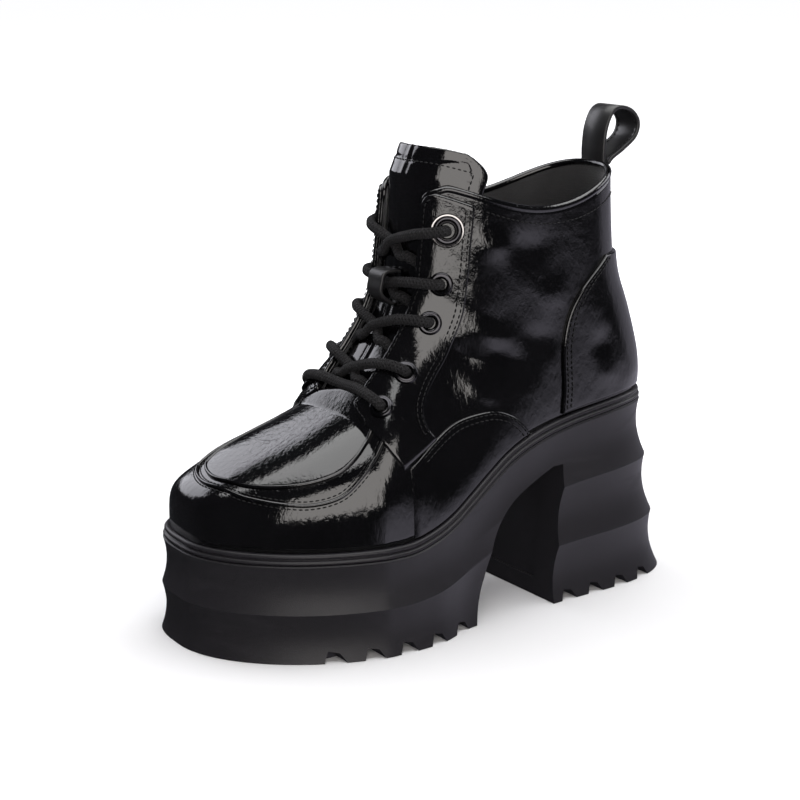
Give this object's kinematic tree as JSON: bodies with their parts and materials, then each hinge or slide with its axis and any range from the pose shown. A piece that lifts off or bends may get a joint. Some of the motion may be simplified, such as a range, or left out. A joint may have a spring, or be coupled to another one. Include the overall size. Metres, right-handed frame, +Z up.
{
  "type": "platform ankle boot, left",
  "caption": "Left lace-up ankle boot in glossy black patent leather on a chunky black platform sole with a block heel, with ring eyelets and a pull loop at the back.",
  "frame": {"origin": "on the floor, under the middle of the boot's bounding box", "axes": "+Z up from the tread, +Y towards the heel along the boot's length, +X towards the outer (lateral) side"},
  "size_m": [0.104, 0.2526, 0.2251],
  "materials": {
    "patent_leather": "glossy crinkled patent coating",
    "sole_rubber": "satin moulded",
    "welt_rubber": "satin with stitching",
    "insole_lining": "matte",
    "lace_braid": "matte braid",
    "black_eyelet": "gloss",
    "silver_eyelet": "polished",
    "loop_leather": "smooth satin"
  },
  "bodies": {
    "root": {"sole": "sole_rubber", "welt": "welt_rubber", "insole": "insole_lining", "upper": "patent_leather", "tongue": "patent_leather", "eyestay_lateral": "patent_leather", "eyestay_medial": "patent_leather", "counter": "patent_leather", "eyelet_lateral_1": "silver_eyelet", "eyelet_lateral_2": "black_eyelet", "eyelet_lateral_3": "black_eyelet", "eyelet_lateral_4": "black_eyelet", "eyelet_lateral_5": "black_eyelet", "eyelet_medial_1": "silver_eyelet", "eyelet_medial_2": "black_eyelet", "eyelet_medial_3": "black_eyelet", "eyelet_medial_4": "black_eyelet", "eyelet_medial_5": "black_eyelet", "lace_cross_1": "lace_braid", "lace_cross_2": "lace_braid", "lace_cross_3": "lace_braid", "lace_cross_4": "lace_braid", "lace_bar": "lace_braid", "lace_keeper": "loop_leather", "pull_loop": "loop_leather"}
  },
  "joints": []
}
